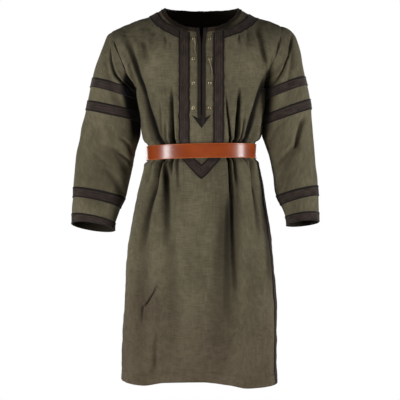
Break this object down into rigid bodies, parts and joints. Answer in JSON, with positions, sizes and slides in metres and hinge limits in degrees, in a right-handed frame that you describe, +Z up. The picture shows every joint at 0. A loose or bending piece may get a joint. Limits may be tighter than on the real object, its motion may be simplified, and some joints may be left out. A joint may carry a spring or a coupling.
{
  "type": "viking tunic",
  "caption": "Long pullover tunic with dark braid trim, a laced neck slit, long sleeves and a leather belt, hollow in its worn shape.",
  "frame": {"origin": "midway between the two neck points, at the height where the shoulder seams meet the neck opening; a wearer's shoulders carry the tunic there", "axes": "+Z up, -Y out of the chest, +X towards the sleeve that a viewer of the front sees on the right"},
  "size_m": [0.6892, 0.3218, 1.0503],
  "materials": {
    "cloth": "slubby plain-weave linen or cotton, olive khaki",
    "braid": "flat woven braid, dark purple-brown with darker edges",
    "leather": "smooth tan leather, half gloss",
    "metal": "antique brass, polished on the edges",
    "cord": "thin twisted cord, pale khaki"
  },
  "bodies": {
    "root": {"eyelet_left_1": "metal", "eyelet_left_2": "metal", "eyelet_left_3": "metal", "eyelet_left_4": "metal", "eyelet_right_1": "metal", "eyelet_right_2": "metal", "eyelet_right_3": "metal", "eyelet_right_4": "metal", "front_panel": "cloth", "back_panel": "cloth", "neck_edging_front_left": "cloth", "neck_braid_front_left": "braid", "slit_edging_left": "braid", "front_braid_left": "braid", "neck_edging_front_right": "cloth", "neck_braid_front_right": "braid", "slit_edging_right": "braid", "front_braid_right": "braid", "neck_edging_back": "cloth", "neck_braid_back": "braid", "slit_arrow": "braid", "side_braid_left": "braid", "side_braid_right": "braid", "upper_sleeve_left": "cloth", "lower_sleeve_left": "cloth", "sleeve_left_braid_arm_1": "braid", "sleeve_left_braid_arm_2": "braid", "sleeve_left_braid_wrist": "braid", "sleeve_left_braid_cuff": "braid", "upper_sleeve_right": "cloth", "lower_sleeve_right": "cloth", "sleeve_right_braid_arm_1": "braid", "sleeve_right_braid_arm_2": "braid", "sleeve_right_braid_wrist": "braid", "sleeve_right_braid_cuff": "braid", "belt_strap": "leather", "belt_buckle": "metal", "belt_prong": "metal", "belt_keeper": "leather", "lace_left": "cord", "lace_right": "cord"}
  },
  "joints": []
}
